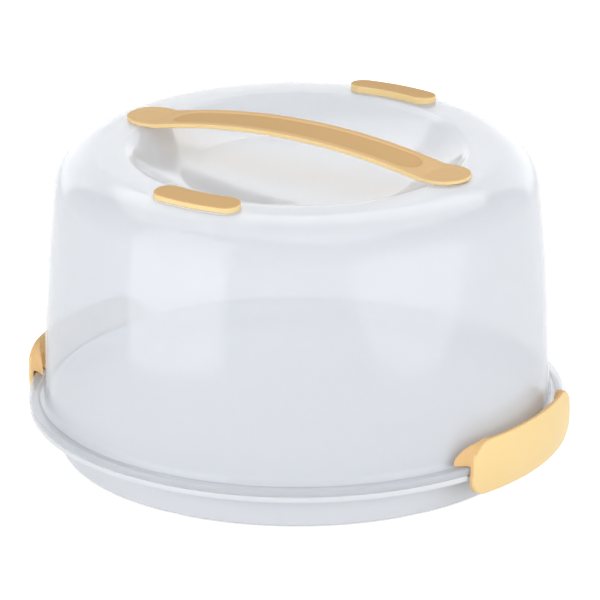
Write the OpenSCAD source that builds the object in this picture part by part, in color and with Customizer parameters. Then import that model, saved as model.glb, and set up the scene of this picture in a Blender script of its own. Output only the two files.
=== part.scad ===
// Round cake carrier: a tray on six soft feet, a high domed lid that lifts off, a carrying strap
// over a finger dish in the lid's top, two grip pads, and two side clips that hinge on the tray and
// hold the lid's flange down.
// Frame: +Z up, origin on the table under the tray's middle. The strap and the clips lie along X and
// the grip pads along Y. Sizes in millimetres, angles in degrees.

/* [Tray] */
// Outer diameter of the tray's rim
rim_d = 339; // [300:1:380]
// Height of the rim at its edge
rim_h = 4; // [3.5:0.5:6]
// Height of the rim's underside above the table
rim_z = 24; // [23:0.5:30]
// How far the foot ring stands in from the rim's edge at the table
foot_in = 19.5; // [17:0.5:26]
// How far the foot ring flares out on its way up to the rim
foot_flare = 2.4; // [1:0.2:3]
// Wall thickness of the tray
tray_wall = 2.2; // [1.8:0.1:2.6]
// Height of the locating ring above the rim
locate_h = 7; // [4:0.5:12]
// How far the serving plate lies below the top of the rim
plate_drop = 1.5; // [0:0.5:2]
// Number of ribs under the plate, with a foot under every second one
rib_count = 12; // [12:12:36]
// Thickness of the ribs
rib_t = 2; // [1.5:0.1:3]

/* [Feet] */
// Diameter of a soft foot
foot_pad_d = 16; // [12:0.5:18]
// How far a soft foot stands out below the foot ring
foot_lift = 1.2; // [1:0.2:3]
// How deep a soft foot sits in its socket
foot_plug = 2.4; // [1.5:0.1:3.5]

/* [Lid] */
// Height of the lid from the rim to its top ring
lid_h = 168; // [140:1:200]
// How far the lid's wall stands in from the rim's edge, just above the flange
wall_in = 10; // [9:0.5:13]
// Wall thickness of the lid
lid_wall = 2; // [1.6:0.1:2.4]
// How far the wall leans in on its way up to the shoulder
lid_lean = 6; // [3:0.5:9]
// Radius of the lid's shoulder
shoulder_r = 29; // [20:1:34]
// Thickness of the lid's flange
flange_h = 5; // [4:0.5:6]
// How far the flange stands out past the tray's rim
flange_over = 0.5; // [0.2:0.1:1]
// Radius of the flange's top edge
flange_edge_r = 1.5; // [1:0.1:2]
// Width of the raised band along the flange's edge
flange_band = 6; // [5:0.5:8]
// Depth of the groove inside the raised band
flange_groove = 0.8; // [0.4:0.1:1.2]

/* [Dish] */
// Width of the flat top ring, from the shoulder to the dish's lip
ring_w = 18.3; // [18:0.1:24]
// Width of the dish's sloping side, from its lip to its flat floor
bowl_w = 34; // [26:1:44]
// Depth of the dish below the top ring
dish_depth = 17; // [10:1:20]

/* [Strap] */
// Width of the carrying strap
strap_w = 32; // [26:1:33]
// Thickness of the carrying strap
strap_t = 3; // [2.6:0.1:4]
// Height of the arch above the end tabs
strap_rise = 10.9; // [6:0.1:16]
// How far the centre of a tab's round end lies outside the dish's lip
tab_out = 0; // [-1:0.5:1]
// Length of a tab's flat stretch, from the arch to its round end
tab_flat = 8; // [6:0.5:14]
// Diameter of a tab's round end
tab_d = 34; // [33.5:0.5:36]
// Thickness of a tab
tab_t = 2.3; // [1.8:0.1:3]
// How far the recess stops short of the arch's end
recess_end = 9; // [6:1:20]
// Width of the recess
recess_w = 23; // [14:1:24]
// Depth of the recess
recess_h = 0.8; // [0.4:0.1:1.2]
// Diameter of the peg under each tab
peg_d = 7; // [5:0.5:8]
// How far the pegs stand outside the centres of the tabs' round ends
peg_out = 9; // [8.5:0.5:10]
// Diameter of the cap that holds a peg inside the lid
cap_d = 13; // [11:0.5:14]
// Thickness of the cap
cap_h = 2.4; // [1.6:0.2:4]

/* [Pads] */
// Distance from the dish's lip to the middle of a pad
pad_out = 15; // [14:0.5:16]
// Width of a pad
pad_w = 18; // [16:1:20]
// Angle that a pad's straight stretch takes, between its round ends
pad_angle = 20; // [8:1:24]
// Height of a pad's outer edge above the top ring
pad_h = 3; // [2:0.2:4]
// Angle at which a pad's top leans outwards
pad_tilt = 5; // [0:0.5:8]
// Width of the seat's edge round a pad
seat_edge = 1.4; // [0.5:0.1:2]
// Diameter of a pad's pegs
pad_peg_d = 5; // [4:0.5:7]

/* [Clips] */
// Half width of a clip's face
clip_half_w = 60; // [54:1:64]
// Height of a clip's bottom edge above the table
clip_bottom = 13.5; // [12.5:0.5:14.5]
// Height of a clip's top edge above the flange
clip_top = 16.5; // [14:0.5:22]
// Wall thickness of a clip
clip_wall = 2.2; // [1.8:0.1:2.6]
// Air between the flange's edge and the clip's face
clip_air = 3.2; // [2.8:0.1:4]
// Radius of the face's barrel shape, seen from its end
clip_barrel_r = 56; // [50:2:120]
// Radius of the face's upper corners
clip_corner_top = 14; // [8:1:15]
// Radius of the face's lower corners
clip_corner_low = 12; // [9:1:14]
// Radius of the rounded edge at each end of a clip's face
clip_edge_r = 6; // [4:0.5:8]
// Depth of the flank at each end of a clip, from the face's outer surface
flank_d = 4.2; // [3:0.1:4.6]
// Gap between the closed clip's ledge and the flange
ledge_gap = 0.3; // [0.2:0.05:0.6]
// Thickness of the ledge that holds the flange down
ledge_t = 2.2; // [1.8:0.1:3]
// Angle from the end of a clip's face to the tip of its wing
wing_past = 3.2; // [2.6:0.1:4.5]

/* [Hinges] */
// Diameter of the hinge pins
pin_d = 3; // [2.4:0.1:3.4]
// Distance of a pin's middle from the clip's middle
hinge_y = 16; // [14:0.5:17]
// Width of a hinge lug on the tray
lug_w = 6.4; // [5:0.2:8]
// Outer diameter of the lugs and of the clip's cheeks
hinge_d = 7; // [6.6:0.1:7.2]
// Thickness of the clip's cheeks
cheek_t = 2.4; // [2:0.1:3]
// Running clearance of the clip on its pin, on the radius
pin_gap = 0.08; // [0.05:0.01:0.1]
// Side clearance between a lug and a cheek
side_gap = 0.3; // [0.2:0.05:0.5]
// Height of the hinge axis below the rim's underside
axis_drop = 4.5; // [4.5:0.1:5]

/* [Hidden] */

white = [0.93, 0.94, 0.96];
milky = [0.88, 0.90, 0.93, 0.75];
butter = [0.97, 0.83, 0.58];
clear_grey = [0.78, 0.80, 0.82];

$fn = 96;

// Tray
rim_r = rim_d / 2;
rim_top = rim_z + rim_h;
rim_edge = 1.2;
foot_r = rim_r - foot_in;
foot_top_r = foot_r + foot_flare;
plate_z = rim_top - plate_drop;
locate_gap = 1.1;
locate_r = rim_r - wall_in - lid_wall - locate_gap;
locate_t = 2;
well_r = locate_r - locate_t;
foot_count = 6;
foot_ring_r = foot_r - tray_wall - foot_pad_d / 2 - 0.4;
boss_r = foot_pad_d / 2 + 1.6;
rib_in = rim_r / 5;
rib_low = foot_lift + 3;

// Lid
lid_r = rim_r - wall_in;
flange_r = rim_r + flange_over;
flange_z = rim_top;
flange_top = flange_z + flange_h;
top_z = flange_z + lid_h;
wall_z0 = flange_top + 2;
wall_z1 = top_z - shoulder_r;
lean_power = 2.6;
shoulder_a0 = 7.6;
wall_z2 = wall_z1 + shoulder_r * sin(shoulder_a0);
shoulder_in = wall_at(wall_z2) - shoulder_r * cos(shoulder_a0);
dish_r = shoulder_in - ring_w;
dish_floor_r = dish_r - bowl_w;
dish_power = 2.2;

// Strap
tab_top = top_z + tab_t;
crown_z = tab_top + strap_rise;
tab_reach = dish_r + tab_out;
strap_reach = tab_reach - tab_flat;
arch_r = strap_reach * strap_reach / (2 * strap_rise);
recess_l = 2 * (strap_reach - recess_end);
peg_reach = tab_reach + peg_out;
peg_end = top_z - lid_wall - cap_h - 0.6;

// Pads
pad_r = dish_r + pad_out;
pad_round = 0.6;

// Clips and hinges
ledge_z = flange_top + ledge_gap;
clip_top_z = flange_top + clip_top;
barrel_z = flange_top;
barrel_out = flange_r + clip_air + clip_wall;
face_a = asin(clip_half_w / barrel_out);
edge_y = clip_half_w - clip_edge_r;
edge_a = asin(edge_y / (barrel_out - clip_edge_r));
edge_x = edge_y / tan(edge_a);
wing_tip_a = face_a + wing_past;
axis_z = rim_z - axis_drop;
axis_x = flange_r - 3.5;
notch_r = axis_x - 2.5;
notch_past = 0.7;
notch_a = face_a + notch_past;
pocket_in = foot_top_r + 4;
pocket_a = notch_a + 1.5;
face_clear = 0.4;
ledge_in = flange_r - flange_band - 0.4;
relief_r = ledge_in + 2.4;
relief_h = 0.6;
wing_t = 2.2;
wing_tip_r = flange_r - flange_band - 1;
wing_power = 1.8;
lug_clear = 0.4;
pin_half = lug_w / 2 + side_gap + cheek_t + 0.2;

// Radius of the lid's wall at height z
function wall_at(z) = lid_r - lid_lean * pow(max(0, z - wall_z0) / (wall_z1 - wall_z0), lean_power);

// Height of the dish's upper surface at radius r
function dish_at(r) = top_z - dish_depth
    * (1 - pow(max(0, r - dish_floor_r) / (dish_r - dish_floor_r), dish_power));

// Height of the strap's top at distance x from its middle
function arch_at(x) = crown_z - x * x / (2 * arch_r);

// Outer radius of a clip's face at height z
function face_at(z) = barrel_out - (z - barrel_z) * (z - barrel_z) / (2 * clip_barrel_r);

// Point at radius r and angle a
function polar(r, a) = [r * cos(a), r * sin(a)];

// Point p of an outline moved t towards its left, where q is the next point
function beside(p, q, t) = let (d = q - p, n = norm(d)) p + t * [-d[1], d[0]] / n;

// ---------------------------------------------------------------- tray

// Section of the tray: foot ring, rim, locating ring and serving plate
module tray_section() {
    arc_n = 5;
    inner_top = plate_z - tray_wall;
    polygon(concat(
        [[foot_r - tray_wall, foot_lift], [foot_r - 0.6, foot_lift], [foot_r, foot_lift + 0.8]],
        [[foot_top_r, rim_z - 1.2], [foot_top_r + 1.2, rim_z]],
        [for (i = [0:arc_n]) [rim_r - rim_edge, rim_z + rim_edge]
            + polar(rim_edge, -90 + i * 90 / arc_n)],
        [for (i = [0:arc_n]) [rim_r - rim_edge, rim_top - rim_edge]
            + polar(rim_edge, i * 90 / arc_n)],
        [[locate_r, rim_top], [locate_r, rim_top + locate_h - 0.6]],
        [[locate_r - 0.6, rim_top + locate_h], [well_r + 0.6, rim_top + locate_h]],
        [[well_r, rim_top + locate_h - 0.6], [well_r, plate_z + 2], [well_r - 2, plate_z]],
        [[0, plate_z], [0, inner_top]],
        [[foot_top_r - tray_wall - 2, inner_top], [foot_top_r - tray_wall, inner_top - 2]]
    ));
}

// Hinge lug under the rim, for a clip on the +X side
module hinge_lug(y) {
    translate([0, y + lug_w / 2, 0])
        rotate([90, 0, 0])
            linear_extrude(lug_w) {
                translate([axis_x, axis_z]) circle(d = hinge_d);
                polygon([[axis_x - hinge_d / 2, axis_z - 1], [axis_x, axis_z + hinge_d / 2],
                    [notch_r - 2, rim_z + 2.5], [notch_r - 8, rim_z + 2.5],
                    [notch_r - 8, rim_z - 0.5]]);
            }
}

// Round bore or pin along Y on a hinge axis
module hinge_round(y, radius, half) {
    translate([axis_x, y + half, axis_z])
        rotate([90, 0, 0])
            cylinder(r = radius, h = 2 * half, $fn = 48);
}

// Notch in the rim's edge where a clip hangs
module rim_notch() {
    rotate([0, 0, -notch_a])
        rotate_extrude(angle = 2 * notch_a)
            translate([notch_r, rim_z - 1])
                square([rim_r - notch_r + 5, rim_h + 1.999]);
}

// Hollow under the rim between the two clips
module rim_pocket() {
    rotate([0, 0, pocket_a])
        rotate_extrude(angle = 180 - 2 * pocket_a)
            translate([pocket_in, rim_z - 1])
                square([rim_r - tray_wall - pocket_in, rim_h - tray_wall + 1]);
}

// Radial rib under the serving plate
module plate_rib() {
    deep = plate_z - tray_wall + 0.5;
    translate([0, rib_t / 2, 0])
        rotate([90, 0, 0])
            linear_extrude(rib_t)
                polygon([[rib_in, deep], [rib_in, deep - 6], [foot_ring_r - 14, deep - 9],
                    [foot_ring_r, rib_low], [foot_r - 1, rib_low],
                    [foot_top_r - 1, deep - 1], [foot_top_r - 1, deep]]);
}

// Round ring under the plate that ties the ribs together
module plate_ring(radius) {
    rotate_extrude()
        translate([radius - rib_t / 2, plate_z - tray_wall - 6])
            square([rib_t, 6.5]);
}

// Tray: serving plate, locating ring, rim, foot ring, ribs, foot sockets and hinge lugs in one piece
module base_tray() {
    color(white)
        difference() {
            union() {
                difference() {
                    rotate_extrude($fn = 180) tray_section();
                    for (side = [0, 180])
                        rotate([0, 0, side]) {
                            rim_notch();
                            rim_pocket();
                        }
                }
                for (i = [0:rib_count - 1])
                    rotate([0, 0, i * 360 / rib_count]) plate_rib();
                plate_ring(rib_in);
                plate_ring((rib_in + foot_ring_r) / 2);
                for (i = [0:foot_count - 1])
                    rotate([0, 0, foot_angle(i)])
                        translate([foot_ring_r, 0, foot_lift])
                            cylinder(r = boss_r, h = foot_plug + 2);
                for (side = [0, 180])
                    rotate([0, 0, side])
                        for (y = [-hinge_y, hinge_y]) hinge_lug(y);
            }
            for (i = [0:foot_count - 1])
                rotate([0, 0, foot_angle(i)])
                    translate([foot_ring_r, 0, 0])
                        cylinder(d = foot_pad_d - 1.4, h = foot_lift + foot_plug);
            for (side = [0, 180])
                rotate([0, 0, side])
                    for (y = [-hinge_y, hinge_y]) hinge_round(y, pin_d / 2, lug_w);
        }
}

// Angle of foot number i round the tray
function foot_angle(i) = (i + 0.5) * 360 / foot_count;

// Soft foot: a round pad with a plug that fills its socket
module soft_foot(i) {
    color(clear_grey)
        rotate([0, 0, foot_angle(i)])
            translate([foot_ring_r, 0, 0]) {
                rotate_extrude($fn = 64)
                    polygon([[0, 0], [foot_pad_d / 2 - 0.5, 0], [foot_pad_d / 2, 0.5],
                        [foot_pad_d / 2, foot_lift], [foot_pad_d / 2 - 0.7, foot_lift],
                        [foot_pad_d / 2 - 0.7, foot_lift + foot_plug],
                        [0, foot_lift + foot_plug]]);
            }
}

// Hinge pin, pressed into its lug on the given side
module clip_pin(side, y) {
    color(clear_grey)
        rotate([0, 0, side]) hinge_round(y, pin_d / 2, pin_half);
}

// ---------------------------------------------------------------- clips

// Outline of a clip's face, seen from outside and moved inwards by t
module face_outline(t) {
    low_y = clip_half_w - clip_corner_low;
    low_z = clip_bottom + clip_corner_low;
    high_y = clip_half_w - clip_corner_top;
    high_z = clip_top_z - clip_corner_top;
    translate([t - clip_half_w, low_z]) square([2 * (clip_half_w - t), high_z - low_z]);
    translate([-low_y, clip_bottom + t]) square([2 * low_y, clip_corner_low - t + 1]);
    translate([-high_y, high_z - 1]) square([2 * high_y, clip_corner_top - t + 1]);
    for (s = [-1, 1]) {
        translate([s * low_y, low_z]) circle(clip_corner_low - t);
        translate([s * high_y, high_z]) circle(clip_corner_top - t);
    }
}

// Opening of the shell behind a clip's face: closed at the flanks, open along its top and bottom
module shell_outline() {
    past = 2;
    low_y = clip_half_w - clip_corner_low;
    high_y = clip_half_w - clip_corner_top;
    face_outline(clip_wall);
    translate([-low_y, clip_bottom - past]) square([2 * low_y, clip_corner_low]);
    translate([-high_y, clip_top_z + past - clip_corner_top]) square([2 * high_y, clip_corner_top]);
}

// Plan of a clip's face with its rounded edges, moved inwards by t
module face_plan(t) {
    polygon([[0, 0], polar(2 * barrel_out, -edge_a), polar(2 * barrel_out, edge_a)]);
    translate([0, t - clip_half_w]) square([edge_x, 2 * (clip_half_w - t)]);
    for (s = [-1, 1]) translate([edge_x, s * edge_y]) circle(clip_edge_r - t);
}

// Barrel shaped block bent round the rim, from t to deep below the face, and past its top and bottom
module face_block(t, deep, past) {
    steps = 16;
    low = clip_bottom - past;
    dz = (clip_top_z - clip_bottom + 2 * past) / steps;
    heights = [for (i = [0:steps]) low + i * dz];
    intersection() {
        rotate([0, 0, -wing_tip_a])
            rotate_extrude(angle = 2 * wing_tip_a, $fn = 180)
                polygon(concat(
                    [for (z = heights) [face_at(z) - t, z]],
                    [for (i = [steps:-1:0]) [face_at(heights[i]) - deep, heights[i]]]
                ));
        translate([0, 0, low - 1]) linear_extrude(clip_top_z - low + past + 2) face_plan(t);
    }
}

// Prism through a clip's face, along X
module face_prism() {
    translate([axis_x - clip_half_w, 0, 0])
        rotate([90, 0, 90])
            linear_extrude(2 * clip_half_w) children();
}

// Shell of a clip: the face panel, with a flank at each end that follows its round corners
module clip_shell() {
    difference() {
        intersection() {
            face_block(0, flank_d, 0);
            face_prism() face_outline(0);
        }
        intersection() {
            face_block(clip_wall, flank_d + 1, 1);
            face_prism() shell_outline();
        }
    }
}

// Ledge that lies over the flange's raised band
module clip_ledge() {
    end_gap = 5;
    ledge_a = asin((clip_half_w - end_gap) / barrel_out);
    out_r = flange_r + clip_air + 0.5;
    rotate([0, 0, -ledge_a])
        rotate_extrude(angle = 2 * ledge_a, $fn = 180)
            polygon([[ledge_in, ledge_z], [relief_r, ledge_z], [relief_r + 0.6, ledge_z + relief_h],
                [out_r, ledge_z + relief_h], [out_r, ledge_z + relief_h + ledge_t],
                [relief_r, ledge_z + ledge_t + 0.3], [ledge_in, ledge_z + ledge_t - 0.4]]);
}

// Wing that curls from behind the face down to the flange, on the side s
module clip_wing(s) {
    root_a = asin((clip_half_w - clip_corner_top) / barrel_out);
    line = [polar(face_at(clip_top_z) - 0.2, root_a), polar(flange_r + 0.6, face_a - 1.9),
        polar(flange_r - 2.4, face_a + 0.8), polar(wing_tip_r, wing_tip_a)];
    inner = [for (i = [0:2]) beside(line[i], line[i + 1], wing_t)];
    root_y = line[0][1];
    tip_y = line[3][1];
    low_z = ledge_z + 0.6;
    steps = 14;
    mirror([0, s > 0 ? 0 : 1, 0])
        difference() {
            intersection() {
                linear_extrude(clip_top_z)
                    polygon(concat(line, [for (i = [2:-1:0]) inner[i]]));
                face_prism()
                    polygon(concat(
                        [[root_y - 6, rim_z - 2], [root_y + 1, rim_z - 2],
                            [root_y + 9, ledge_z], [tip_y + 1, ledge_z]],
                        [for (i = [0:steps]) let (a = 90 * i / steps)
                            [root_y + (tip_y - root_y) * pow(cos(a), 2 / wing_power),
                                low_z + (clip_top_z - low_z) * pow(sin(a), 2 / wing_power)]],
                        [[root_y - 6, clip_top_z]]
                    ));
            }
            cylinder(r = flange_r + face_clear, h = ledge_z, $fn = 180);
        }
}

// Two cheeks beside a hinge lug, tied to the face
module clip_cheeks(y) {
    intersection() {
        for (s = [-1, 1]) {
            far = y + s * (lug_w / 2 + side_gap + cheek_t / 2) + cheek_t / 2;
            translate([0, far, 0])
                rotate([90, 0, 0])
                    linear_extrude(cheek_t) {
                        translate([axis_x, axis_z]) circle(d = hinge_d);
                        translate([axis_x, axis_z - hinge_d / 2]) square([8, hinge_d]);
                    }
        }
        rotate([0, 0, -face_a])
            rotate_extrude(angle = 2 * face_a, $fn = 180)
                polygon([[axis_x - 20, 0], [face_at(clip_bottom) - 0.5, 0],
                    [face_at(clip_bottom) - 0.5, clip_bottom],
                    [face_at(rim_z) - 0.5, rim_z], [axis_x - 20, rim_z]]);
    }
}

// Clip: barrel shaped face, ledge, two wings and four hinge cheeks in one piece
module clip(side) {
    color(butter)
        rotate([0, 0, side])
            difference() {
                union() {
                    clip_shell();
                    clip_ledge();
                    for (s = [-1, 1]) clip_wing(s);
                    for (y = [-hinge_y, hinge_y]) clip_cheeks(y);
                }
                for (y = [-hinge_y, hinge_y]) {
                    hinge_round(y, pin_d / 2 + pin_gap, 2 * pin_half);
                    hinge_round(y, hinge_d / 2 + lug_clear, lug_w / 2 + side_gap);
                }
            }
}

// ---------------------------------------------------------------- lid

// Outer and upper line of the lid, from the wall's foot to the middle of the dish, moved inwards by t
function lid_line(t) = concat(
    [for (i = [0:12]) let (z = wall_z0 + i * (wall_z2 - wall_z0) / 12) [wall_at(z) - t, z]],
    [for (i = [1:12]) let (a = shoulder_a0 + i * (90 - shoulder_a0) / 12)
        [shoulder_in, wall_z1] + polar(shoulder_r - t, a)],
    [[dish_r + 1.5 - t * 0.5, top_z - t], [dish_r + 0.5 - t * 0.5, top_z - 0.3 - t]],
    [for (i = [1:12]) let (r = dish_r - i * (dish_r - dish_floor_r) / 12,
            m = dish_depth * dish_power / (dish_r - dish_floor_r)
                * pow((r - dish_floor_r) / (dish_r - dish_floor_r), dish_power - 1),
            n = sqrt(1 + m * m))
        [r + t * m / n, dish_at(r) - t / n]],
    [[0, top_z - dish_depth - t]]
);

// Section of the lid: flange, wall, shoulder, top ring and finger dish
module lid_section() {
    outer = lid_line(0);
    inner = lid_line(lid_wall);
    last = len(inner) - 1;
    arc_n = 4;
    polygon(concat(
        [[lid_r - lid_wall, flange_z], [flange_r - 0.5, flange_z], [flange_r, flange_z + 0.5]],
        [for (i = [0:arc_n]) [flange_r - flange_edge_r, flange_top - flange_edge_r]
            + polar(flange_edge_r, i * 90 / arc_n)],
        [[flange_r - flange_band, flange_top],
            [flange_r - flange_band - 0.5, flange_top - flange_groove],
            [lid_r + 1.5, flange_top - flange_groove], [lid_r + 0.3, flange_top + 0.4]],
        outer,
        [for (i = [last:-1:0]) inner[i]]
    ));
}

// Low seat under a grip pad, where the shoulder starts to drop away
module pad_seat() {
    pad_shape(pad_w / 2 + seat_edge, top_z - 1.9, 1.9);
}

// Kidney shape on the pad circle, centred on +X, with half width w, from height z up by h
module pad_shape(w, z, h) {
    rotate([0, 0, -pad_angle / 2])
        rotate_extrude(angle = pad_angle, $fn = 180)
            translate([pad_r - w, z]) square([2 * w, h]);
    for (s = [-1, 1])
        rotate([0, 0, s * pad_angle / 2])
            translate([pad_r, 0, z]) cylinder(r = w, h = h);
}

// Pegs of a pad, or the holes for them
module pad_pegs(z, h) {
    for (s = [-1, 1])
        rotate([0, 0, s * pad_angle / 2])
            translate([pad_r, 0, z]) cylinder(d = pad_peg_d, h = h, $fn = 48);
}

// Lid: one thin dome with its flange, finger dish, pad seats and holes for the pegs
module lid_dome() {
    color(milky)
        difference() {
            union() {
                rotate_extrude($fn = 180) lid_section();
                for (a = [-90, 90]) rotate([0, 0, a]) pad_seat();
            }
            for (s = [-1, 1])
                translate([s * peg_reach, 0, top_z - 2 * lid_wall])
                    cylinder(d = peg_d, h = 3 * lid_wall, $fn = 48);
            for (a = [-90, 90]) rotate([0, 0, a]) pad_pegs(top_z - 3 * lid_wall, 4 * lid_wall);
        }
}

// Body of a pad, drawn in by t, whose leaning top has its outer edge at height h
module pad_body(t, h) {
    past = 1;
    reach = pad_w / 2 + past;
    intersection() {
        pad_shape(pad_w / 2 - t, top_z, h + pad_w);
        rotate([0, 0, -90])
            rotate_extrude(angle = 180, $fn = 180)
                polygon([[pad_r - reach, top_z - past], [pad_r + reach, top_z - past],
                    [pad_r + reach, top_z + h - past * tan(pad_tilt)],
                    [pad_r - reach, top_z + h + (pad_w + past) * tan(pad_tilt)]]);
    }
}

// Grip pad on the lid's top ring, at the angle a
module grip_pad(a) {
    color(butter)
        rotate([0, 0, a]) {
            pad_body(0, pad_h - pad_round);
            pad_body(pad_round, pad_h);
            pad_pegs(top_z - lid_wall - 0.6, lid_wall + 0.7);
        }
}

// ---------------------------------------------------------------- strap

// Side view of the strap between its bottom and its top, with both moved up by lift
module strap_profile(thick, lift) {
    steps = 24;
    xs = [for (i = [0:steps]) -strap_reach + i * 2 * strap_reach / steps];
    tip = tab_reach + tab_d / 2 + 1;
    polygon(concat(
        [[tip, top_z + lift], [tip, tab_top + lift]],
        [for (i = [steps:-1:0]) [xs[i], arch_at(xs[i]) + lift]],
        [[-tip, tab_top + lift], [-tip, top_z + lift]],
        [for (x = xs) [x, max(top_z, arch_at(x) - thick) + lift]]
    ));
}

// Plan of the strap with its two round tabs
module strap_plan() {
    translate([-tab_reach, -strap_w / 2]) square([2 * tab_reach, strap_w]);
    for (s = [-1, 1]) translate([s * tab_reach, 0]) circle(d = tab_d);
}

// Plan of the long recess in the strap's top
module recess_plan() {
    straight = recess_l - recess_w;
    translate([-straight / 2, -recess_w / 2]) square([straight, recess_w]);
    for (s = [-1, 1]) translate([s * straight / 2, 0]) circle(d = recess_w);
}

// Carrying strap: an arch with a shallow recess, two flat tabs and a peg under each tab
module carry_handle() {
    color(butter) {
        difference() {
            intersection() {
                translate([0, tab_d, 0])
                    rotate([90, 0, 0])
                        linear_extrude(2 * tab_d) strap_profile(strap_t, 0);
                linear_extrude(crown_z + 5) strap_plan();
            }
            intersection() {
                translate([0, tab_d, 0])
                    rotate([90, 0, 0])
                        linear_extrude(2 * tab_d) strap_profile(strap_t, strap_t - recess_h);
                linear_extrude(crown_z + 5) recess_plan();
            }
        }
        for (s = [-1, 1])
            translate([s * peg_reach, 0, peg_end])
                cylinder(d = peg_d, h = top_z - peg_end + 0.5, $fn = 48);
    }
}

// Push-on cap that holds a strap peg from inside the lid
module handle_cap(s) {
    color(clear_grey)
        translate([s * peg_reach, 0, top_z - lid_wall - cap_h])
            difference() {
                cylinder(d = cap_d, h = cap_h, $fn = 48);
                translate([0, 0, -1]) cylinder(d = peg_d, h = cap_h + 2, $fn = 48);
            }
}

base_tray();
soft_foot(0);  // foot_1
soft_foot(1);  // foot_2
soft_foot(2);  // foot_3
soft_foot(3);  // foot_4
soft_foot(4);  // foot_5
soft_foot(5);  // foot_6
clip_pin(0, -hinge_y);  // clip_pin_right_a
clip_pin(0, hinge_y);  // clip_pin_right_b
clip_pin(180, -hinge_y);  // clip_pin_left_a
clip_pin(180, hinge_y);  // clip_pin_left_b
clip(0);  // clip_right
clip(180);  // clip_left
lid_dome();
carry_handle();
handle_cap(1);  // handle_cap_right
handle_cap(-1);  // handle_cap_left
grip_pad(-90);  // grip_pad_front
grip_pad(90);  // grip_pad_back
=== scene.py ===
# %% [markdown]
# # A round cake carrier, dressed for its picture
# The carrier is a white footed tray, a high milky lid, a butter yellow strap over a finger dish,
# two grip pads and two side clips. All of it is moulded polypropylene, so the picture lives from
# soft edges, a waxy gloss, and how much light the thin lid lets through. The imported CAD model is
# the fixed frame, and every piece made here sits where the CAD has it.

# %% Load the frame
import math
import bmesh
import bpy
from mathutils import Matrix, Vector


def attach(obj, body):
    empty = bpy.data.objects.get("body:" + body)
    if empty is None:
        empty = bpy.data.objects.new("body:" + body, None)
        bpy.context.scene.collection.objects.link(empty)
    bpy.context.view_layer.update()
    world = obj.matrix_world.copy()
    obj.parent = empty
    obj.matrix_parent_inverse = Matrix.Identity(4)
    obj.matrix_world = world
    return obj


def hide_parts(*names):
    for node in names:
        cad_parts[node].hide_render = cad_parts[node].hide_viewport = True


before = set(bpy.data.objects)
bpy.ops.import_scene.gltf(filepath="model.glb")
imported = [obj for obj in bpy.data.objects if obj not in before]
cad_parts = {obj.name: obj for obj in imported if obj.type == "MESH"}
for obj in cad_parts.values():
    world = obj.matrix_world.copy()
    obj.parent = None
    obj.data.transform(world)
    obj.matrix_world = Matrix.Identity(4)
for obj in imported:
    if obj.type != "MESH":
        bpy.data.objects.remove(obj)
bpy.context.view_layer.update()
MM = 0.001

# %% [markdown]
# ## Camera
# The ellipses of the foot, the flange, the lid and the dish in the photo fix the camera: it looks
# down by 20.5 degrees, from 31 degrees right of the front, through a long lens. A long lens keeps
# far and near ellipses alike, which is how product pictures are taken.

# %% Place the camera
CAMERA_TURN = math.radians(31.0)
CAMERA_TILT = math.radians(20.54)
CAMERA_AWAY = 4.568
CAMERA_LENS, SENSOR_WIDTH, FRAME_SHIFT, FAR_LIMIT = 434.57, 36, 0.0045, 50
AIM = Vector((0, 0, 0.0938))

camera = bpy.data.objects.new("camera", bpy.data.cameras.new("camera"))
bpy.context.scene.collection.objects.link(camera)
bpy.context.scene.camera = camera
back = Vector((math.sin(CAMERA_TURN) * math.cos(CAMERA_TILT),
               -math.cos(CAMERA_TURN) * math.cos(CAMERA_TILT), math.sin(CAMERA_TILT)))
camera.location = AIM + back * CAMERA_AWAY
camera.rotation_euler = (-back).to_track_quat("-Z", "Y").to_euler()
camera.data.lens = CAMERA_LENS
camera.data.sensor_width = SENSOR_WIDTH
camera.data.shift_x = FRAME_SHIFT
camera.data.clip_end = FAR_LIMIT
bpy.context.scene.view_settings.view_transform = "Standard"
print("camera at", [round(v, 3) for v in camera.location])

# %% [markdown]
# ## Two helpers for materials
# One function turns a hex colour to the linear values Blender works in. One adds a node with its
# settings and links: a socket is named, with _ for a blank, or numbered, as in0, where a node has
# several sockets of one name.

# %% Colour and node helpers
def colour(hex_code, alpha=1.0):
    values = [int(hex_code[i:i + 2], 16) / 255 for i in (1, 3, 5)]
    linear = [v / 12.92 if v <= 0.04045 else ((v + 0.055) / 1.055) ** 2.4 for v in values]
    return (*linear, alpha)


def add(tree, kind, settings=None, **links):
    node = tree.nodes.new(kind)
    for name, value in (settings or {}).items():
        setattr(node, name, value)
    for name, value in links.items():
        wanted = name.replace("_", " ")
        socket = next((s for s in node.inputs if s.enabled and s.name == wanted), None)
        if socket is None:
            socket = node.inputs[int(name[2:])]
        if isinstance(value, bpy.types.NodeSocket):
            tree.links.new(value, socket)
        else:
            socket.default_value = value
    return node


print("butter yellow in linear values:", [round(v, 3) for v in colour("#f3d79e")])

# %% [markdown]
# ## Materials
# Polypropylene is a waxy, half clear plastic. Moulded thick and filled with white it is the tray;
# moulded thin and unfilled it is the milky lid; tinted it is the butter yellow of strap, pads and
# clips. What the eye reads is a soft gloss that is never quite even, because the melt cools
# unevenly: broad, very weak waves in the surface, and a roughness that wanders by a few hundredths.
# All the plastics share one recipe, so that they look like parts of one product. The fine grain of
# the moulds is drawn at about a millimetre, coarser than the real one, because finer grain would
# not show in the picture.

# %% A moulded plastic
ROUGHNESS_DRIFT = 0.03
WAXY_RADIUS = (1.0, 0.9, 0.75)


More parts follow.
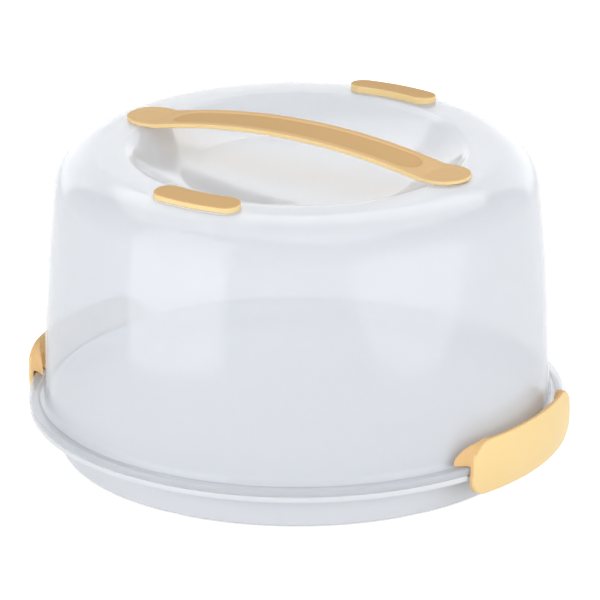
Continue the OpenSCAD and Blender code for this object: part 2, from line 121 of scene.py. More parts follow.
def moulded_plastic(name, base, other, rough, wave_mm, wave_depth_mm, grain_mm, grain_depth_mm,
                    sub=0.0, sub_mm=2.0, alpha=1.0, lets_in=0.0, ior=1.49, gloss=0.5):
    """base and other are the two tints that the melt drifts between, sub is the share of light that
    travels inside, lets_in is how much less of the plastic light rays meet than the eye does"""
    material = bpy.data.materials.new(name)
    material.use_nodes = True
    tree = material.node_tree
    tree.nodes.clear()
    where = add(tree, "ShaderNodeTexCoord").outputs["Object"]
    cloud = add(tree, "ShaderNodeTexNoise", Vector=where, Scale=1000 / wave_mm, Detail=2.0,
                Roughness=0.45)
    grain = add(tree, "ShaderNodeTexNoise", Vector=where, Scale=1000 / grain_mm, Detail=2.0,
                Roughness=0.55)
    tint = add(tree, "ShaderNodeMix", {"data_type": "RGBA"}, Factor=cloud.outputs["Fac"],
               A=colour(base), B=colour(other))
    uneven = add(tree, "ShaderNodeMapRange", Value=cloud.outputs["Fac"], From_Min=0.3, From_Max=0.7,
                 To_Min=rough - ROUGHNESS_DRIFT, To_Max=rough + ROUGHNESS_DRIFT)
    waves = add(tree, "ShaderNodeBump", Height=cloud.outputs["Fac"], Strength=1.0,
                Distance=wave_depth_mm * MM)
    skin = add(tree, "ShaderNodeBump", Height=grain.outputs["Fac"], Strength=1.0,
               Distance=grain_depth_mm * MM, Normal=waves.outputs["Normal"])
    surface = add(tree, "ShaderNodeBsdfPrincipled", {"name": "surface"},
                  Base_Color=tint.outputs["Result"], Roughness=uneven.outputs["Result"], IOR=ior,
                  Alpha=alpha, Subsurface_Weight=sub, Subsurface_Scale=sub_mm * MM,
                  Subsurface_Radius=WAXY_RADIUS, Specular_IOR_Level=gloss,
                  Normal=skin.outputs["Normal"])
    if lets_in:
        path = add(tree, "ShaderNodeLightPath")
        light_ray = add(tree, "ShaderNodeMath", {"operation": "MAXIMUM"},
                        in0=path.outputs["Is Shadow Ray"], in1=path.outputs["Is Diffuse Ray"])
        cover = add(tree, "ShaderNodeMath", {"operation": "MULTIPLY_ADD"},
                    in0=light_ray.outputs[0], in1=-lets_in, in2=alpha)
        tree.links.new(cover.outputs[0], surface.inputs["Alpha"])
    add(tree, "ShaderNodeOutputMaterial", Surface=surface.outputs["BSDF"])
    return material


# Filled white polypropylene, injection moulded: opaque, a soft satin gloss
white_polypropylene = moulded_plastic(
    "white_polypropylene", "#d9dce1", "#d5d8dd", rough=0.34, wave_mm=60, wave_depth_mm=0.06,
    grain_mm=1.6, grain_depth_mm=0.004, sub=0.08)
print("first plastic:", white_polypropylene.name)

# %% [markdown]
# The yellow pieces are one plastic in three versions, given out by where faces turn. Their
# roughness follows how moulds are finished: polished, blasted, and blasted coarser, and the blasted
# ones have no mirror gloss. Their colour is painted shade as well: the matt one is a little deeper
# for the strap's upper faces, and the coarse one darker still for faces that turn up or lie in a
# hollow, where less of the low light falls.

# %% Butter yellow, in three finishes, two of them with painted shade
# Tinted polypropylene from a polished mould: warm, slightly waxy, the edges glow a little
butter_polypropylene = moulded_plastic(
    "butter_polypropylene", "#f3d79e", "#f0d398", rough=0.42, wave_mm=40, wave_depth_mm=0.04,
    grain_mm=1.2, grain_depth_mm=0.006, sub=0.12, sub_mm=2.5, gloss=0.15)
# The same plastic from a blasted mould, a little deeper as painted shade: the flat tops of the
# strap
matt_painted_shade_butter_polypropylene = moulded_plastic(
    "matt_painted_shade_butter_polypropylene", "#f8d29f", "#f4cd97", rough=0.60, wave_mm=40, wave_depth_mm=0.04,
    grain_mm=0.9, grain_depth_mm=0.010, sub=0.12, sub_mm=2.5, gloss=0.0)
# Blasted coarser and darker as painted shade: the strap's recess, pads' tops, clips' wings and top
# edges
coarse_painted_shade_butter_polypropylene = moulded_plastic(
    "coarse_painted_shade_butter_polypropylene", "#ecc48f", "#e8bf88", rough=0.66, wave_mm=40, wave_depth_mm=0.04,
    grain_mm=0.9, grain_depth_mm=0.016, sub=0.12, sub_mm=2.5, gloss=0.0)
print("yellow finishes:", [m.name for m in bpy.data.materials if "butter_poly" in m.name])

# %% [markdown]
# The lid is the hard one. Thin unfilled polypropylene scatters light far more than it stops it: the
# eye sees a veil, yet the inside is bright. Plain Alpha can't say both, so Light Path lowers it for
# the rays that carry light, and keeps it for the rays that look. Transmission would be truer for
# clear plastic, but it would bend and darken what stands inside.

# %% Lid, feet and pins
# Unfilled polypropylene, moulded thin and polished: milky, half see-through, a clear gloss
milky_polypropylene = moulded_plastic(
    "milky_polypropylene", "#dadee4", "#d6dae1", rough=0.10, wave_mm=90, wave_depth_mm=0.08,
    grain_mm=6.0, grain_depth_mm=0.001, sub=0.3, sub_mm=4.0, alpha=0.50, lets_in=0.36)
# Thermoplastic rubber, moulded against a blasted mould: matt, no clear reflection
soft_foot_rubber = moulded_plastic(
    "soft_foot_rubber", "#c2c6ca", "#b9bec3", rough=0.72, wave_mm=12, wave_depth_mm=0.02,
    grain_mm=0.9, grain_depth_mm=0.02, ior=1.52)
# Acetal, turned: dense, off-white and satin
natural_acetal = moulded_plastic(
    "natural_acetal", "#e0e0da", "#d9d9d2", rough=0.30, wave_mm=10, wave_depth_mm=0.01,
    grain_mm=0.8, grain_depth_mm=0.004, ior=1.48)
print("the rest:", milky_polypropylene.name, soft_foot_rubber.name, natural_acetal.name)

# %% [markdown]
# ## Floor and background
# The photo stands on pure white. The floor and the world are white for the camera, for reflections
# and for what is seen through the lid, while the light they send out stays at a plain level. Light
# Path tells these rays apart. The floor is also a plain matt surface, so it keeps the carrier's
# shadow.

# %% White for the eye, plain for the light
ROOM_LIGHT, FLOOR_GLOW, FLOOR_HALF = 0.70, 0.65, 6


def seen_directly(tree):
    path = add(tree, "ShaderNodeLightPath")
    first = add(tree, "ShaderNodeMath", {"operation": "MAXIMUM"}, in0=path.outputs["Is Camera Ray"],
                in1=path.outputs["Is Glossy Ray"])
    return add(tree, "ShaderNodeMath", {"operation": "MAXIMUM"}, in0=first.outputs[0],
               in1=path.outputs["Is Transmission Ray"]).outputs[0]


world = bpy.data.worlds.new("studio")
bpy.context.scene.world = world
world.use_nodes = True
world.node_tree.nodes.clear()
room = add(world.node_tree, "ShaderNodeBackground", Color=colour("#fbfbfb"), Strength=ROOM_LIGHT)
white = add(world.node_tree, "ShaderNodeBackground", Color=(1, 1, 1, 1), Strength=1.0)
both = add(world.node_tree, "ShaderNodeMixShader", in0=seen_directly(world.node_tree),
           in1=room.outputs[0], in2=white.outputs[0])
add(world.node_tree, "ShaderNodeOutputWorld", Surface=both.outputs[0])

# Uncoated studio paper: matt, a little below white where light falls on it
paper = bpy.data.materials.new("white_paper")
paper.use_nodes = True
paper.node_tree.nodes.clear()
matt = add(paper.node_tree, "ShaderNodeBsdfDiffuse", Color=colour("#f0f0f0"))
glow = add(paper.node_tree, "ShaderNodeEmission", Color=(1, 1, 1, 1),
           Strength=add(paper.node_tree, "ShaderNodeMath", {"operation": "MULTIPLY"},
                        in0=seen_directly(paper.node_tree), in1=FLOOR_GLOW).outputs[0])
lit = add(paper.node_tree, "ShaderNodeAddShader", in0=matt.outputs[0], in1=glow.outputs[0])
add(paper.node_tree, "ShaderNodeOutputMaterial", Surface=lit.outputs[0])

floor_mesh = bpy.data.meshes.new("floor")
floor_mesh.from_pydata([(-FLOOR_HALF, -FLOOR_HALF, 0), (FLOOR_HALF, -FLOOR_HALF, 0),
                        (FLOOR_HALF, FLOOR_HALF, 0), (-FLOOR_HALF, FLOOR_HALF, 0)],
                       [], [(0, 1, 2, 3)])
floor = bpy.data.objects.new("floor", floor_mesh)
floor_mesh.materials.append(paper)
bpy.context.scene.collection.objects.link(floor)
print("room light", ROOM_LIGHT, "floor glow", FLOOR_GLOW)

# %% [markdown]
# ## Lamps and cards
# The strap's upper face is darker in the photo than the upright face of the clip, so the light
# comes from low: two soft panels stand on the floor at the front left and the front right, and a
# third stands further off in front. What the gloss mirrors is placed apart from that, as a
# photographer does with white cards. Two small cards close to the lid make the two pale patches on
# its wall, and a tall card behind and a wide one overhead brighten the top ring and the shoulder.

# %% Soft panels that light, and bright cards that only the gloss sees
SIDE_LIGHT, FRONT_LIGHT = 1.9, 1.5


def soft_panel(name, turn, away, low, high, width, strength, aside=0.0, gloss_only=False,
               shape="RECTANGLE"):
    """A standing panel: turned from the camera by turn, strength is its radiance"""
    lamp = bpy.data.lights.new(name, "AREA")
    lamp.shape = shape
    lamp.size = width
    lamp.size_y = high - low
    filled = 1 if shape == "RECTANGLE" else math.pi / 4
    lamp.energy = strength * math.pi * width * (high - low) * filled
    panel = bpy.data.objects.new(name, lamp)
    bpy.context.scene.collection.objects.link(panel)
    a = CAMERA_TURN + math.radians(turn)
    out = Vector((math.sin(a), -math.cos(a), 0))
    side = Vector((math.cos(a), math.sin(a), 0))
    panel.location = out * away + side * aside + Vector((0, 0, (low + high) / 2))
    panel.rotation_euler = (-out).to_track_quat("-Z", "Y").to_euler()
    panel.visible_camera = False
    panel.visible_diffuse = not gloss_only
    panel.visible_glossy = gloss_only
    panel.visible_transmission = False
    return panel


soft_panel("panel_left", turn=-53, away=1.2, low=0.0, high=0.55, width=1.2, strength=SIDE_LIGHT)
soft_panel("panel_right", turn=62, away=1.2, low=0.0, high=0.55, width=1.2, strength=SIDE_LIGHT)
soft_panel("panel_front", turn=0, away=2.6, low=0.2, high=1.6, width=2.4, strength=FRONT_LIGHT)
soft_panel("card_left", turn=-58, away=0.38, low=0.020, high=0.50, width=0.286, strength=2.3,
           aside=0.083, gloss_only=True)
soft_panel("card_right", turn=55, away=0.38, low=0.020, high=0.27, width=0.36, strength=1.6,
           aside=-0.083, gloss_only=True, shape="ELLIPSE")
soft_panel("card_back", turn=180, away=1.5, low=0.1, high=4.0, width=3.0, strength=1.8,
           gloss_only=True)
# The last card lies flat overhead and faces down
OVERHEAD = 1.45
card_top = soft_panel("card_top", turn=180, away=0.55, low=0.0, high=2.4, width=2.4, strength=2.7,
                      gloss_only=True)
card_top.location.z = OVERHEAD
card_top.rotation_euler = (0, 0, 0)
print("lamps and cards:", [lamp.name for lamp in bpy.data.lights])

# %% [markdown]
# ## The lid
# The lid is one thin revolved shell: flange, leaning wall, broad shoulder, flat top ring and the
# finger dish. A shape that follows a rule all round is a good case for Geometry Nodes. The tree is
# a lathe: it lays out a grid with one row for each point of the section, looks each row's point up
# in the section, and turns the columns round the axis. Merge by Distance then closes the seam, and
# the points on the axis fall together.

# %% The lathe
# Points closer than this, in metres, are one point
MERGE = 1e-6


def build_lathe():
    tree = bpy.data.node_groups.new("lathe", "GeometryNodeTree")
    face = tree.interface
    face.new_socket("Section", in_out="INPUT", socket_type="NodeSocketGeometry")
    face.new_socket("Section Points", in_out="INPUT", socket_type="NodeSocketInt")
    face.new_socket("Turns Into", in_out="INPUT", socket_type="NodeSocketInt")
    face.new_socket("Plastic", in_out="INPUT", socket_type="NodeSocketMaterial")
    face.new_socket("Shell", in_out="OUTPUT", socket_type="NodeSocketGeometry")
    given = add(tree, "NodeGroupInput")
    columns = add(tree, "ShaderNodeMath", in0=given.outputs["Turns Into"], in1=1.0)
    grid = add(tree, "GeometryNodeMeshGrid", Vertices_X=given.outputs["Section Points"],
               Vertices_Y=columns.outputs[0])
    index = add(tree, "GeometryNodeInputIndex").outputs[0]
    share = add(tree, "ShaderNodeMath", {"operation": "DIVIDE"}, in0=index, in1=columns.outputs[0])
    row = add(tree, "ShaderNodeMath", {"operation": "FLOOR"}, in0=share.outputs[0])
    column = add(tree, "ShaderNodeMath", {"operation": "MODULO"}, in0=index, in1=columns.outputs[0])
    part = add(tree, "ShaderNodeMath", {"operation": "DIVIDE"}, in0=column.outputs[0],
               in1=given.outputs["Turns Into"])
    angle = add(tree, "ShaderNodeMath", {"operation": "MULTIPLY"}, in0=part.outputs[0],
                in1=math.tau)
    look_up = add(tree, "GeometryNodeSampleIndex", {"data_type": "FLOAT_VECTOR"},
                  Geometry=given.outputs["Section"],
                  Value=add(tree, "GeometryNodeInputPosition").outputs[0], Index=row.outputs[0])
    split = add(tree, "ShaderNodeSeparateXYZ", Vector=look_up.outputs[0])
    cosine = add(tree, "ShaderNodeMath", {"operation": "COSINE"}, in0=angle.outputs[0])
    sine = add(tree, "ShaderNodeMath", {"operation": "SINE"}, in0=angle.outputs[0])
    x = add(tree, "ShaderNodeMath", {"operation": "MULTIPLY"}, in0=split.outputs[0],
            in1=cosine.outputs[0])
    y = add(tree, "ShaderNodeMath", {"operation": "MULTIPLY"}, in0=split.outputs[0],
            in1=sine.outputs[0])
    place = add(tree, "ShaderNodeCombineXYZ", X=x.outputs[0], Y=y.outputs[0], Z=split.outputs[2])
    moved = add(tree, "GeometryNodeSetPosition", Geometry=grid.outputs["Mesh"],
                Position=place.outputs[0])
    closed = add(tree, "GeometryNodeMergeByDistance", Geometry=moved.outputs[0], Distance=MERGE)
    real = add(tree, "GeometryNodeRealizeInstances", Geometry=closed.outputs[0])
    coated = add(tree, "GeometryNodeSetMaterial", Geometry=real.outputs[0],
                 Material=given.outputs["Plastic"])
    add(tree, "NodeGroupOutput", Shell=coated.outputs[0])
    return tree


LATHE = build_lathe()
INPUTS = {i.name: i.identifier for i in LATHE.interface.items_tree if i.in_out == "INPUT"}
print("lathe inputs:", INPUTS)


# %% Closed meshes, and a section turned on the lathe
LID_TURNS_INTO = 256


def tidy_mesh(mesh):
    """Close seams, drop loose edges, turn the faces outwards, shade smooth; counts open edges"""
    work = bmesh.new()
    work.from_mesh(mesh)
    bmesh.ops.remove_doubles(work, verts=work.verts, dist=MERGE)
    bmesh.ops.dissolve_degenerate(work, edges=work.edges, dist=MERGE)
    loose = [e for e in work.edges if not e.link_faces]
    bmesh.ops.delete(work, geom=loose, context="EDGES")
    bmesh.ops.recalc_face_normals(work, faces=work.faces)
    for face in work.faces:
        face.smooth = True
    open_edges = sum(1 for e in work.edges if not e.is_manifold)
    work.to_mesh(mesh)
    work.free()
    return open_edges


def turned(name, section, turns_into, material):
    mesh = bpy.data.meshes.new(name)
    count = len(section)
    mesh.from_pydata([(r * MM, 0, z * MM) for r, z in section],
                     [(i, i + 1) for i in range(count - 1)], [])
    raw = bpy.data.objects.new(name + "_section", mesh)
    bpy.context.scene.collection.objects.link(raw)
    lathe = raw.modifiers.new("lathe", "NODES")
    lathe.node_group = LATHE
    lathe[INPUTS["Section Points"]] = count
    lathe[INPUTS["Turns Into"]] = turns_into
    lathe[INPUTS["Plastic"]] = material
    ready = raw.evaluated_get(bpy.context.evaluated_depsgraph_get())
    shell = bpy.data.meshes.new_from_object(ready)
    raw.modifiers.remove(lathe)
    bpy.data.objects.remove(raw)
    shell.name = name
    piece = bpy.data.objects.new(name, shell)
    bpy.context.scene.collection.objects.link(piece)
    open_edges = tidy_mesh(shell)
    print(name, len(shell.polygons), "faces,", open_edges, "open edges")
    return piece


print("the lid turns into", LID_TURNS_INTO, "columns")

# %% [markdown]
# The sizes are the CAD's, in millimetres: radii and heights on the lid's section. The wall leans in
# towards the top, slowly at first, and the shoulder is a round of 29 mm. One thing is finer than in
# the CAD: the dish falls part cone and part bowl, so that it meets its floor in a faint crease,
# which the photo shows as a change of tone.

# %% The lid's sizes
FLANGE_R, FLANGE_Z, FLANGE_TOP = 170.0, 28.0, 33.0
LID_R, LID_WALL, TOP_Z = 159.5, 2.0, 196.0
WALL_Z0, WALL_Z1, SHOULDER_R, LEAN, LEAN_POWER = 35.0, 167.0, 29.0, 6.0, 2.6
SHOULDER_START = math.radians(7.6)
BOWL_W, RING_W, DISH_DEPTH, DISH_POWER = 34.0, 18.3, 17.0, 2.2
# The share of the dish's slope that falls as a cone
DISH_CONE = 0.5
# Where the ring turns into the dish: distance outside the dish's edge, drop below the ring
RING_EDGE = [(8.0, 0.0), (2.4, 0.0), (1.2, 0.25), (0.3, 0.9)]
EDGE_DROP = 0.5
WALL_STEPS, SHOULDER_STEPS, DISH_STEPS, FLOOR_SHARES = 28, 24, 20, (0.8, 0.5, 0.2, 0.0)


def wall_at(z):
    return LID_R - LEAN * (max(0.0, z - WALL_Z0) / (WALL_Z1 - WALL_Z0)) ** LEAN_POWER


WALL_Z2 = WALL_Z1 + SHOULDER_R * math.sin(SHOULDER_START)
SHOULDER_IN = wall_at(WALL_Z2) - SHOULDER_R * math.cos(SHOULDER_START)
DISH_R = SHOULDER_IN - RING_W
DISH_FLOOR_R = DISH_R - BOWL_W
print("dish radius", round(DISH_R, 1), "mm, its floor", round(DISH_FLOOR_R, 1), "mm")


# %% The lid's outer line, from the wall's foot to the middle of the dish
def lid_outer():
    line = []
    for i in range(WALL_STEPS + 1):
        z = WALL_Z0 + (WALL_Z2 - WALL_Z0) * i / WALL_STEPS
        line.append((wall_at(z), z))
    for i in range(1, SHOULDER_STEPS + 1):
        a = SHOULDER_START + (math.pi / 2 - SHOULDER_START) * i / SHOULDER_STEPS
        line.append((SHOULDER_IN + SHOULDER_R * math.cos(a), WALL_Z1 + SHOULDER_R * math.sin(a)))
    line += [(DISH_R + outside, TOP_Z - drop) for outside, drop in RING_EDGE]
    for i in range(1, DISH_STEPS + 1):
        r = DISH_R - BOWL_W * i / DISH_STEPS
        u = (r - DISH_FLOOR_R) / BOWL_W
        rise = DISH_CONE * u + (1 - DISH_CONE) * u ** DISH_POWER
        line.append((r, TOP_Z - DISH_DEPTH * (1 - rise) - EDGE_DROP * u))
    line += [(DISH_FLOOR_R * share, TOP_Z - DISH_DEPTH) for share in FLOOR_SHARES]
    return line


def moved_in(line, t):
    """The same line t further in, along its own normals"""
    out = []
    for i, (r, z) in enumerate(line):
        a, b = line[max(0, i - 1)], line[min(len(line) - 1, i + 1)]
        dr, dz = b[0] - a[0], b[1] - a[1]
        n = math.hypot(dr, dz)
        out.append((max(0.0, r - t * dz / n) if r > 0 else 0.0, z + t * dr / n))
    return out


print("outer line:", len(lid_outer()), "points")

# %% [markdown]
# The flange is what the clips hold: a flat ring with a rounded rim, a raised band on it, and a
# flared foot where it runs up into the wall, as a mould is cut so that the melt flows and the
# corner does not crack. The CAD has a plain corner there. The section goes from the flange up the
# outside, comes back down along the inside, and closes on its first point.

# %% The flange, and the whole lid
LIP, RIM_ROUND = 0.7, 1.5
# The raised band's inner edge: distance in from the rim, drop below the band
BAND_EDGE = [(5.6, 0.0), (6.2, 0.25), (6.8, 0.8)]
RIM_ANGLES = (0, 0.4, 0.8, 1.2, math.pi / 2)
# The flared foot: the groove it stands in, how high it reaches, how far it spreads
GROOVE_Z, FOOT_Z, FOOT_R = FLANGE_TOP - 0.8, 36.4, 3.5
FOOT_ANGLES = [math.radians(v) for v in range(0, 90, 10)]

flange_line = [(LID_R - LID_WALL, FLANGE_Z), (FLANGE_R - LIP, FLANGE_Z), (FLANGE_R, FLANGE_Z + LIP)]
flange_line += [(FLANGE_R - RIM_ROUND + RIM_ROUND * math.cos(a),
                 FLANGE_TOP - RIM_ROUND + RIM_ROUND * math.sin(a))
                for a in RIM_ANGLES]
flange_line += [(FLANGE_R - inside, FLANGE_TOP - drop) for inside, drop in BAND_EDGE]
flange_line += [(LID_R + FOOT_R * (1 - math.sin(a)), FOOT_Z - (FOOT_Z - GROOVE_Z) * math.cos(a))
                for a in FOOT_ANGLES]
outer_line = lid_outer()
outer_line[0] = (wall_at(FOOT_Z), FOOT_Z)
inner_line = moved_in(outer_line, LID_WALL)
lid_section = flange_line + outer_line + inner_line[::-1] + [flange_line[0]]
lid_shell = turned("lid_shell", lid_section, LID_TURNS_INTO, milky_polypropylene)
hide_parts("lid_dome")
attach(lid_shell, "lid")
print("lid section:", len(lid_section), "points")

# %% [markdown]
# ## Strap and grip pads
# Strap and pads are slabs with rounded edges. Each is laid out from a line down its middle to its
# outline: rings of points go from one to the other, close together where the edge turns over, and
# two small rules give the height above and below. A bevel modifier would round the edges too, but
# it can't follow an arch, a recess and a lid that falls away under the pad.

# %% A slab with rounded edges
EDGE_STEPS = [0.0, 0.3, 0.5, 0.54, 0.58, 0.62, 0.7, 0.8, 0.88, 0.93, 0.965, 0.985, 0.996, 1.0]


def slab(name, spine, outline, top, bottom, radius, material, steps=EDGE_STEPS):
    """Spine and outline are lists of the same length, going once round the piece"""
    points, faces = [], []
    count = len(outline)

    def ring(share, height, sign):
        start = len(points)
        for (sx, sy), (ox, oy) in zip(spine, outline):
            x, y = sx + (ox - sx) * share, sy + (oy - sy) * share
            edge = math.hypot(ox - sx, oy - sy) * (1 - share)
            drop = 0.0
            if edge < radius:
                drop = radius - math.sqrt(max(0.0, radius ** 2 - (radius - edge) ** 2))
            points.append((x, y, height(x, y) - sign * drop))
        return start

    rings = [ring(s, top, 1) for s in steps]
    rings += [ring(s, bottom, -1) for s in reversed(steps)]
    for a, b in zip(rings, rings[1:]):
        for i in range(count):
            j = (i + 1) % count
            faces.append((a + i, a + j, b + j, b + i))
    mesh = bpy.data.meshes.new(name)
    mesh.from_pydata([tuple(v * MM for v in p) for p in points], [], faces)
    piece = bpy.data.objects.new(name, mesh)
    bpy.context.scene.collection.objects.link(piece)
    open_edges = tidy_mesh(mesh)
    mesh.materials.append(material)
    print(name, len(mesh.polygons), "faces,", open_edges, "open edges")
    return piece


print("steps from spine to edge:", len(EDGE_STEPS))

# %% [markdown]
# The strap is a flat arch of 32 mm width that ends in two round tabs on the lid's ring. A long
# shallow recess in its top takes the fingertips, so its rings of points lie close together all the
# way out.

# %% The carrying strap's sizes and heights
STRAP_STEPS = [i / 40 for i in range(37)] + [0.92, 0.94, 0.955, 0.968, 0.98, 0.99, 0.996, 1.0]
STRAP_W, STRAP_T, STRAP_RISE, STRAP_EDGE = 32.0, 3.0, 10.9, 0.9
TAB_T, TAB_D, TAB_REACH = 2.3, 34.0, DISH_R
# Each tab has a slightly sunk disc, whose middle lies a little outside the tab's
DISC_BORDER, DISC_OUT, DISC_SUNK, DISC_RAMP = 4.0, 1.0, 0.35, (0.0, 3.0)
STRAP_REACH = TAB_REACH - 8.0
ARCH_R = STRAP_REACH ** 2 / (2 * STRAP_RISE)
RECESS_L, RECESS_W, RECESS_H, RECESS_RAMP = 2 * (STRAP_REACH - 9.0), 23.0, 0.8, (-0.2, 0.7)
SUNK_IN_LID = 0.05


def soft_step(value, low, high):
    t = min(1.0, max(0.0, (value - low) / (high - low)))
    return t * t * (3 - 2 * t)


def arch(x):
    return TOP_Z + TAB_T + STRAP_RISE - x * x / (2 * ARCH_R)


def inside_recess(x, y):
    """How far a point lies inside the recess's outline, less than 0 outside it"""
    off_end = max(0.0, abs(x) - (RECESS_L - RECESS_W) / 2)
    return RECESS_W / 2 - math.hypot(off_end, y)


def strap_top(x, y):
    disc = TAB_D / 2 - DISC_BORDER - math.hypot(abs(x) - TAB_REACH - DISC_OUT, y)
    return (max(arch(x), TOP_Z + TAB_T) - RECESS_H * soft_step(inside_recess(x, y), *RECESS_RAMP)
            - DISC_SUNK * soft_step(disc, *DISC_RAMP))


def strap_bottom(x, y):
    return max(TOP_Z - SUNK_IN_LID, arch(x) - STRAP_T)


print("strap", round(2 * (TAB_REACH + TAB_D / 2), 1), "mm long, recess", round(RECESS_L, 1), "mm")

# %% [markdown]
# The strap takes all three yellow versions, face by face: the recess the coarse one, darker as
# painted shade in the hollow; the sides the polished one, paler as a painted highlight that with
# its real gloss makes a pale line; the rest the matt one, a little deeper as painted shade on upper
# faces.

# %% The carrying strap
STATIONS, END_STEPS, WIDENS_BEFORE = 300, 32, 4.0
FACES_UP, FACES_ASIDE, RECESS_MARGIN, SIDE_MARGIN = 0.5, 0.6, 0.3, 1.25


def strap_lines():
    spine, outline = [], []
    xs = [-TAB_REACH + 2 * TAB_REACH * i / STATIONS for i in range(STATIONS + 1)]
    for side in (-1, 1):
        for x in xs[::-side]:
            wider = soft_step(abs(x), STRAP_REACH - WIDENS_BEFORE, TAB_REACH)
            spine.append((x, 0.0))
            outline.append((x, side * (STRAP_W / 2 + (TAB_D - STRAP_W) / 2 * wider)))
        for i in range(1, END_STEPS):
            a = side * math.pi / 2 + math.pi * i / END_STEPS
            spine.append((-side * TAB_REACH, 0.0))
            outline.append((-side * TAB_REACH + TAB_D / 2 * math.cos(a), TAB_D / 2 * math.sin(a)))
    return spine, outline


strap_spine, strap_outline = strap_lines()
carry_strap = slab("carry_strap", strap_spine, strap_outline, strap_top, strap_bottom, STRAP_EDGE,
                   matt_painted_shade_butter_polypropylene, STRAP_STEPS)
carry_strap.data.materials.append(coarse_painted_shade_butter_polypropylene)
carry_strap.data.materials.append(butter_polypropylene)
# Recess: coarse yellow, painted shade. Sides: polished yellow, a paler painted highlight. Rest:
# matt yellow, painted shade
for polygon in carry_strap.data.polygons:
    x, y, _ = polygon.center / MM
    if polygon.normal.z > FACES_UP and inside_recess(x, y) > RECESS_MARGIN:
        polygon.material_index = 1
    elif (abs(polygon.normal.z) < FACES_ASIDE
          and inside_recess(x, y * SIDE_MARGIN) <= RECESS_MARGIN):
        polygon.material_index = 2
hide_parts("carry_handle")
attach(carry_strap, "lid")
print("coarse faces in the recess:", sum(p.material_index == 1 for p in carry_strap.data.polygons))

# %% [markdown]
# A pad is kidney shaped: a band that follows the lid's ring, with round ends. Its top leans
# outwards, its sides run down into the lid, and a thin milky seat stands proud of the ring around
# it.

# %% The two grip pads and their seats
PAD_R, PAD_W, PAD_H, PAD_EDGE = DISH_R + 15.0, 18.0, 3.0, 0.8
PAD_HALF, PAD_TILT = math.radians(10.0), math.radians(5.0)
PAD_SUNK, SEAT_BORDER, SEAT_PROUD, SEAT_EDGE = 0.9, 1.4, 0.04, 0.5
PAD_STEPS = 24


def pad_top(x, y):
    """The pad's top leans outwards, and is PAD_H high along its outer edge"""
    return TOP_Z + PAD_H + (PAD_R + PAD_W / 2 - math.hypot(x, y)) * math.tan(PAD_TILT)


def pad_foot(x, y):
    """A little below the lid's upper surface, outside the dish"""
    over = max(0.0, math.hypot(x, y) - SHOULDER_IN)
    return TOP_Z - SHOULDER_R + math.sqrt(max(0.0, SHOULDER_R ** 2 - over ** 2)) - PAD_SUNK


def seat_top(x, y):
    return TOP_Z + SEAT_PROUD


def pad_lines(turn, width):
    spine, outline = [], []
    for side in (1, -1):
        for i in range(PAD_STEPS + 1):
            a = turn + side * (2 * PAD_HALF * i / PAD_STEPS - PAD_HALF)
            spine.append((PAD_R * math.cos(a), PAD_R * math.sin(a)))
            outline.append(((PAD_R + side * width / 2) * math.cos(a),
                            (PAD_R + side * width / 2) * math.sin(a)))
        end = turn + side * PAD_HALF
        cx, cy = PAD_R * math.cos(end), PAD_R * math.sin(end)
        for i in range(1, PAD_STEPS):
            bearing = end + math.pi * i / PAD_STEPS + (0 if side == 1 else math.pi)
            spine.append((cx, cy))
            outline.append((cx + width / 2 * math.cos(bearing), cy + width / 2 * math.sin(bearing)))
    return spine, outline


for label, node, turn in (("near", "grip_pad_front", -math.pi / 2),
                          ("far", "grip_pad_back", math.pi / 2)):
    pad = slab("grip_pad_" + label, *pad_lines(turn, PAD_W), pad_top, pad_foot, PAD_EDGE,
               coarse_painted_shade_butter_polypropylene)
    pad.data.materials.append(butter_polypropylene)
    # Pad tops take the coarse yellow, darker as painted shade on faces that turn up; the sides the
    # polished one
    for polygon in pad.data.polygons:
        polygon.material_index = 1 if abs(polygon.normal.z) < FACES_ASIDE else 0
    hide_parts(node)
    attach(pad, "lid")
    seat = slab("pad_seat_" + label, *pad_lines(turn, PAD_W + 2 * SEAT_BORDER), seat_top, pad_foot,
                SEAT_EDGE, milky_polypropylene)
    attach(seat, "lid")

# %% [markdown]
# ## The side clips
# A clip is a barrel-shaped panel with a wing at each end and a ledge inside. In the mould all its
# inner corners are filleted, so the CAD solid is copied, its loose triangles are merged, and a fine
# voxel remesh with a little smoothing rounds every edge and corner alike. A bevel would trip over
# the many thin triangles of the solid. The photo shows no gap between the end of the face and the
# wing, so a thin web is added there before the remesh, which joins it to both.

# %% The web that closes the corner between a clip's face and its wing
CLIP_HALF, CLIP_CORNER, CLIP_TOP, CLIP_OUT, CLIP_BARREL = 60.0, 14.0, 49.5, 175.4, 56.0
LEDGE_Z, WING_MARGIN, WING_POWER = 33.3, 0.6, 1.8
WEB_WALL, WEB_LEAST, WEB_LEVELS = 2.0, 0.1, 24
WEB_BELOW_FACE, WEB_OVERLAP, WEB_MARGIN = 3.0, 0.2, 0.4
# The wing's outer face in plan, in millimetres, for the clip at +X and its end at +Y
WING_PLAN = [(166.8, 45.3), (162.2, 53.0), (156.7, 59.5), (150.2, 64.4)]


def face_radius(z):
    """The barrel-shaped outer face's radius at height z"""
    return CLIP_OUT - (z - FLANGE_TOP) ** 2 / (2 * CLIP_BARREL)


def wing_x_at(y):
    for (xa, ya), (xb, yb) in zip(WING_PLAN, WING_PLAN[1:]):
        if y <= yb:
            return xa + (xb - xa) * (y - ya) / (yb - ya)


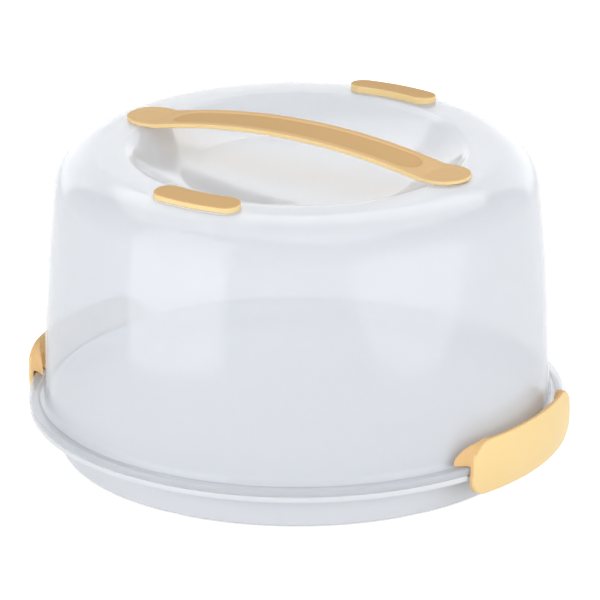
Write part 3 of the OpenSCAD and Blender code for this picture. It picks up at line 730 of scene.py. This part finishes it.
def web_section(z):
    """Plan of the web at height z: two points on the face's flank, two on the wing"""
    over = max(0.0, z - (CLIP_TOP - CLIP_CORNER))
    corner = math.sqrt(max(0.0, CLIP_CORNER ** 2 - over ** 2))
    face_y = CLIP_HALF - CLIP_CORNER + corner - WEB_OVERLAP
    face_x = math.sqrt((face_radius(z) - WEB_BELOW_FACE) ** 2 - face_y ** 2)
    foot = LEDGE_Z + WING_MARGIN
    sine = min(1.0, max(0.0, (z - foot) / (CLIP_TOP - foot))) ** (WING_POWER / 2)
    reach = (1 - sine ** 2) ** (1 / WING_POWER)
    wing_y = min(WING_PLAN[2][1],
                 WING_PLAN[0][1] + (WING_PLAN[3][1] - WING_PLAN[0][1]) * reach - WEB_OVERLAP)
    wing_x = min(wing_x_at(wing_y), face_x - WEB_LEAST)
    return [(face_x, face_y), (wing_x, wing_y), (wing_x, wing_y - WEB_WALL),
            (face_x, face_y - WEB_WALL)]


def add_webs(mesh, side):
    """Add both webs of the clip at X * side to a mesh, as closed blocks"""
    work = bmesh.new()
    work.from_mesh(mesh)
    for end in (-1, 1):
        levels = []
        for i in range(WEB_LEVELS + 1):
            z = LEDGE_Z + WEB_MARGIN + (CLIP_TOP - LEDGE_Z - 2 * WEB_MARGIN) * i / WEB_LEVELS
            levels.append([work.verts.new((side * x * MM, end * y * MM, z * MM))
                           for x, y in web_section(z)])
        block = [work.faces.new(levels[0]), work.faces.new(levels[-1])]
        for low, high in zip(levels, levels[1:]):
            block += [work.faces.new((low[j], low[(j + 1) % 4], high[(j + 1) % 4], high[j]))
                      for j in range(4)]
        bmesh.ops.recalc_face_normals(work, faces=block)
    work.to_mesh(mesh)
    work.free()


print("web at the flange:", [[round(v, 1) for v in p] for p in web_section(LEDGE_Z + 1)])

# %% [markdown]
# The faces of a clip take the polished yellow. Its wings and top edges, where fingertips pull it
# open, take the coarse one: rougher, and darker as painted shade, since the top edges face up and
# the wings sit back. The wings are found by how far they lie behind the barrel-shaped face.

# %% Clips, softened from the CAD solid
VOXEL, RELAX, RELAX_TIMES = 0.55 * MM, 0.5, 3
TOP_EDGE_UP, WING_FROM, WING_BEHIND = 0.45, 45.0, 2.2

for label, node in (("side_clip_right", "clip_right"), ("side_clip_left", "clip_left")):
    soft = bpy.data.objects.new(label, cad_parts[node].data.copy())
    bpy.context.scene.collection.objects.link(soft)
    tidy_mesh(soft.data)
    add_webs(soft.data, 1 if node == "clip_right" else -1)
    remesh = soft.modifiers.new("remesh", "REMESH")
    remesh.mode = "VOXEL"
    remesh.voxel_size = VOXEL
    relax = soft.modifiers.new("relax", "SMOOTH")
    relax.factor = RELAX
    relax.iterations = RELAX_TIMES
    made = soft.evaluated_get(bpy.context.evaluated_depsgraph_get())
    plain = bpy.data.meshes.new_from_object(made)
    soft.modifiers.clear()
    soft.data = plain
    plain.name = label
    plain.materials.clear()
    plain.materials.append(butter_polypropylene)
    plain.materials.append(coarse_painted_shade_butter_polypropylene)
    # Top edges and wings take the coarse yellow, darker as painted shade on faces that turn up or
    # sit back
    for polygon in plain.polygons:
        x, y, z = polygon.center / MM
        on_wing = abs(y) > WING_FROM and math.hypot(x, y) < face_radius(z) - WING_BEHIND
        polygon.use_smooth = True
        polygon.material_index = 1 if polygon.normal.z > TOP_EDGE_UP or on_wing else 0
    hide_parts(node)
    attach(soft, node)
    print(label, len(plain.polygons), "faces")

# %% [markdown]
# ## Tray, feet, pins and caps
# The tray, its soft feet, the hinge pins and the caps inside the lid have the right shape already,
# so the CAD bodies stay and take the plastics made above.

# %% Dress the CAD nodes that stay
FINISHES = {"base_tray": white_polypropylene, "foot_": soft_foot_rubber,
            "clip_pin": natural_acetal, "handle_cap": natural_acetal}
for node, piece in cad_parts.items():
    finish = next((m for start, m in FINISHES.items() if node.startswith(start)), None)
    if finish:
        piece.data.materials.clear()
        piece.data.materials.append(finish)
        print(node, "->", finish.name)
